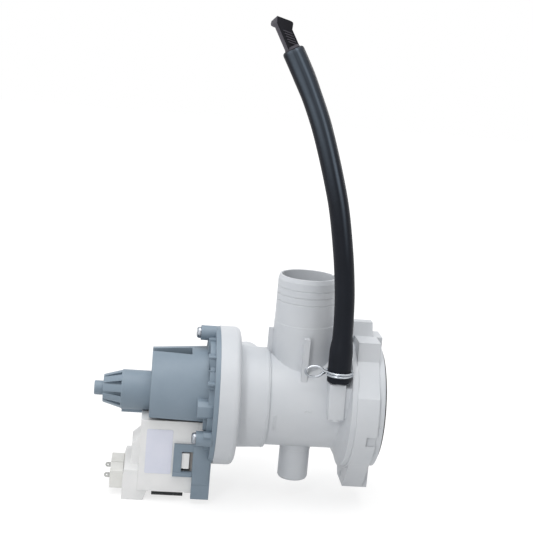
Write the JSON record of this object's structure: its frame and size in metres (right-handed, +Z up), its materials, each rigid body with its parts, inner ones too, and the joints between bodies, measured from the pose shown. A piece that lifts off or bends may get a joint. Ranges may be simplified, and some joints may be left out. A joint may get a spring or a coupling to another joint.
{
  "type": "washer drain pump",
  "caption": "Washer drain pump: filter housing with upright inlet, shaded rotor motor, screw-in lint filter and a plugged emergency drain hose.",
  "frame": {"origin": "midpoint between the two front screw holes, on the filter axis, in the plane of the screw seats", "axes": "+X along the filter axis out of the filter opening, +Z up along the inlet spigot, -Y towards the hose side"},
  "size_m": [0.2003, 0.1238, 0.337],
  "materials": {
    "housing_plastic": "satin moulded",
    "cap_plastic": "satin moulded",
    "motor_plastic": "satin moulded",
    "cover_plastic": "satin moulded",
    "block_plastic": "satin moulded",
    "seal_rubber": "matt",
    "bush_carbon": "matt",
    "shaft_steel": "ground",
    "magnet_ferrite": "matt",
    "impeller_plastic": "moulded",
    "core_steel": "black lacquered laminations",
    "bobbin_plastic": "moulded",
    "coil_copper": "enamelled copper",
    "terminal_metal": "tin plated",
    "screw_zinc": "bright zinc",
    "hose_rubber": "satin",
    "plug_rubber": "satin",
    "clamp_spring": "bright zinc"
  },
  "bodies": {
    "housing": {"filter_housing": "housing_plastic", "front_seal": "seal_rubber", "motor_frame": "motor_plastic", "rotor_can": "motor_plastic", "can_seal": "seal_rubber", "rear_bush": "bush_carbon", "front_bush": "bush_carbon", "stator_core": "core_steel", "bobbin_near": "bobbin_plastic", "bobbin_far": "bobbin_plastic", "coil_near": "coil_copper", "coil_far": "coil_copper", "coil_cover": "cover_plastic", "terminal_block": "block_plastic", "terminal_near": "terminal_metal", "terminal_far": "terminal_metal", "screw_top": "screw_zinc", "screw_near": "screw_zinc", "screw_far": "screw_zinc", "drain_hose": "hose_rubber", "hose_clamp": "clamp_spring"},
    "rotor": {"rotor_shaft": "shaft_steel", "rotor_magnet": "magnet_ferrite"},
    "impeller": {"impeller": "impeller_plastic"},
    "seal_carrier": {"filter_seal": "seal_rubber"},
    "filter_insert": {"filter_cap": "cap_plastic", "filter_basket": "cap_plastic"},
    "plug": {"hose_plug": "plug_rubber"}
  },
  "joints": [
    {"name": "rotor_spin", "type": "hinge", "parent": "housing", "child": "rotor", "pos_m": [-0.13, 0, 0], "axis": [1, 0, 0], "continuous": true},
    {"name": "impeller_play", "type": "hinge", "parent": "rotor", "child": "impeller", "pos_m": [-0.09, 0, 0], "axis": [1, 0, 0], "range_deg": [-145, 145]},
    {"name": "filter_slide", "type": "slide", "parent": "housing", "child": "seal_carrier", "axis": [1, 0, 0], "range_m": [0, 0.09]},
    {"name": "filter_turn", "type": "hinge", "parent": "seal_carrier", "child": "filter_insert", "pos_m": [0, 0, 0], "axis": [1, 0, 0], "range_deg": [0, 2160]},
    {"name": "plug_pull", "type": "slide", "parent": "housing", "child": "plug", "axis": [-0.4815, 0, 0.8764], "range_m": [0, 0.03]}
  ],
  "couplings": [
    {"joint": "filter_slide", "follows": "filter_turn", "m_per_rad": 0.0023873}
  ]
}
